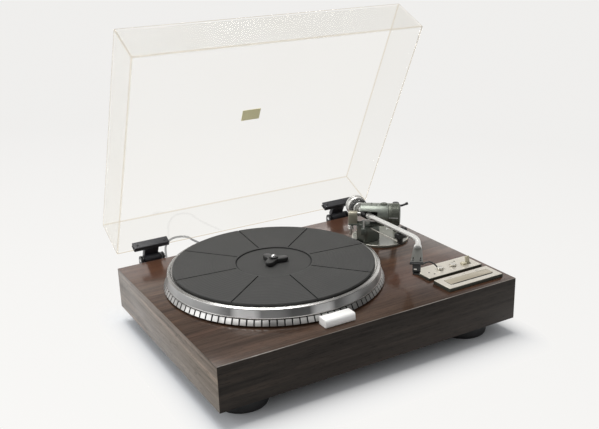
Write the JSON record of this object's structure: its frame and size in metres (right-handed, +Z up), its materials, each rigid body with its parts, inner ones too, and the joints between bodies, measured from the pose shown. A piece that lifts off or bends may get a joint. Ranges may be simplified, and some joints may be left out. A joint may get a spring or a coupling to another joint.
{
  "type": "turntable",
  "caption": "Direct-drive record player on a wooden plinth, with a strobe-rimmed platter, J-shaped tonearm, front controls and a hinged clear lid.",
  "frame": {"origin": "on the surface under the feet, at the middle of the width and of the depth that plinth and open lid cover", "axes": "+X to the player's right, +Y to its back, +Z up"},
  "size_m": [0.475, 0.662, 0.4581],
  "materials": {
    "wood": "dark reddish-brown veneer, semi-gloss",
    "dark_board": "dark board, matt",
    "foot_rubber": "matt",
    "machined_aluminium": "turned, satin",
    "mat_rubber": "ribbed, matt",
    "polished_steel": "polished",
    "magnet": "dull",
    "stator_metal": "wound coils on a dull core",
    "black_plastic": "fine satin",
    "circuit_board": "satin",
    "white_plastic": "milky",
    "warm_glass": "clear",
    "champagne_panel": "brushed",
    "satin_silver": "satin",
    "cream_plastic": "satin",
    "arm_grey": "satin, greenish grey",
    "black_metal": "satin paint",
    "headshell_grey": "brushed",
    "ring_black": "satin, with plain numbers",
    "weight_metal": "polished",
    "clear_plastic": "clear, polished",
    "gold_plate": "satin, bare",
    "cord_rubber": "smooth, satin"
  },
  "bodies": {
    "case": {"front_wall": "wood", "rear_wall": "wood", "left_wall": "wood", "right_wall": "wood", "deck": "wood", "base_board": "dark_board", "foot_front_left": "foot_rubber", "foot_front_right": "foot_rubber", "foot_rear_left": "foot_rubber", "foot_rear_right": "foot_rubber", "motor_stator": "stator_metal", "bearing_sleeve": "magnet", "transformer": "magnet", "control_board": "circuit_board", "strobe_housing": "white_plastic", "strobe_lamp": "warm_glass", "rear_panel": "champagne_panel", "front_panel": "champagne_panel", "arm_flange": "arm_grey", "arm_pillar": "arm_grey", "arm_rest": "black_plastic", "hinge_bracket_left": "black_metal", "hinge_bracket_right": "black_metal", "hinge_pin_left": "polished_steel", "hinge_pin_right": "polished_steel", "socket_plate": "black_plastic", "cord_gland": "foot_rubber", "mains_cord": "cord_rubber", "cord_coil": "cord_rubber", "mains_plug": "black_plastic"},
    "platter": {"platter": "machined_aluminium", "mat": "mat_rubber", "spindle": "polished_steel", "rotor_magnet": "magnet"},
    "adapter": {"adapter": "black_plastic"},
    "lid": {"lid": "clear_plastic", "badge_plate": "gold_plate", "hinge_leaf_left": "black_metal", "hinge_leaf_right": "black_metal"},
    "arm_swing": {"arm_yoke": "arm_grey", "bearing_housing": "arm_grey", "balance_rod": "polished_steel"},
    "tonearm": {"gimbal_block": "black_metal", "arm_tube": "satin_silver", "headshell": "headshell_grey", "finger_lift": "black_plastic", "cartridge": "black_plastic", "stylus": "black_plastic"},
    "counterweight": {"counterweight": "weight_metal"},
    "scale_ring": {"scale_ring": "ring_black"},
    "force_dial": {"force_dial": "arm_grey"},
    "anti_skate_dial": {"anti_skate_dial": "arm_grey"},
    "balance_weight": {"balance_weight": "polished_steel"},
    "cue_lever": {"cue_lever": "black_metal"},
    "lifter": {"lifter_bar": "satin_silver"},
    "pitch_knob_left": {"pitch_knob_left": "satin_silver"},
    "pitch_knob_right": {"pitch_knob_right": "satin_silver"},
    "power_lever": {"power_lever": "cream_plastic"},
    "press_plate": {"press_plate": "champagne_panel"}
  },
  "joints": [
    {"name": "platter_spin", "type": "hinge", "parent": "case", "child": "platter", "pos_m": [-0.0548, -0.02598, 0.088], "axis": [0, 0, -1], "continuous": true},
    {"name": "adapter_lift", "type": "slide", "parent": "platter", "child": "adapter", "axis": [0, 0, 1], "range_m": [0, 0.03]},
    {"name": "lid_hinge", "type": "hinge", "parent": "case", "child": "lid", "pos_m": [0, 0.16242, 0.0849], "axis": [1, 0, 0], "range_deg": [0, 63.95]},
    {"name": "tonearm_swing", "type": "hinge", "parent": "case", "child": "arm_swing", "pos_m": [0.141, 0.02442, 0.136], "axis": [0, 0, -1], "range_deg": [0, 45]},
    {"name": "tonearm_lift", "type": "hinge", "parent": "arm_swing", "child": "tonearm", "pos_m": [0.141, 0.02442, 0.136], "axis": [-0.7771, 0.6293, 0], "range_deg": [0, 4]},
    {"name": "counterweight_slide", "type": "slide", "parent": "tonearm", "child": "counterweight", "axis": [0.258, 0.9661, 0], "range_m": [-0.006, 0.006]},
    {"name": "scale_ring_turn", "type": "hinge", "parent": "counterweight", "child": "scale_ring", "pos_m": [0.141, 0.02442, 0.136], "axis": [0.258, 0.9661, 0], "range_deg": [-1100, 1100]},
    {"name": "force_dial_turn", "type": "hinge", "parent": "arm_swing", "child": "force_dial", "pos_m": [0.141, 0.02442, 0.136], "axis": [0.7771, -0.6293, 0], "range_deg": [0, 270]},
    {"name": "anti_skate_turn", "type": "hinge", "parent": "arm_swing", "child": "anti_skate_dial", "pos_m": [0.16431, 0.00554, 0.136], "axis": [0, 0, 1], "range_deg": [0, 270]},
    {"name": "balance_weight_slide", "type": "slide", "parent": "arm_swing", "child": "balance_weight", "axis": [0, 0, -1], "range_m": [0, 0.009]},
    {"name": "cue_lever_turn", "type": "hinge", "parent": "case", "child": "cue_lever", "pos_m": [0.206, 0.03042, 0.132], "axis": [0, 0, 1], "range_deg": [0, 50]},
    {"name": "lifter_slide", "type": "slide", "parent": "case", "child": "lifter", "axis": [0, 0, 1], "range_m": [0, 0.001]},
    {"name": "pitch_knob_left_turn", "type": "hinge", "parent": "case", "child": "pitch_knob_left", "pos_m": [0.162, -0.14108, 0.092], "axis": [0, 0, -1], "range_deg": [-140, 140]},
    {"name": "pitch_knob_right_turn", "type": "hinge", "parent": "case", "child": "pitch_knob_right", "pos_m": [0.186, -0.14108, 0.092], "axis": [0, 0, -1], "range_deg": [-140, 140]},
    {"name": "power_lever_tip", "type": "hinge", "parent": "case", "child": "power_lever", "pos_m": [0.211, -0.14508, 0.0905], "axis": [1, 0, 0], "range_deg": [0, 24]},
    {"name": "press_plate_push", "type": "slide", "parent": "case", "child": "press_plate", "axis": [0, 0, -1], "range_m": [0, 0.001], "stiffness_N_per_m": 800, "springref_m": -0.0005}
  ],
  "couplings": [
    {"joint": "scale_ring_turn", "follows": "counterweight_slide", "rad_per_m": 3141.6},
    {"joint": "cue_lever_turn", "follows": "tonearm_lift", "ratio": 12.2},
    {"joint": "lifter_slide", "follows": "tonearm_lift", "m_per_rad": 0.0132}
  ]
}
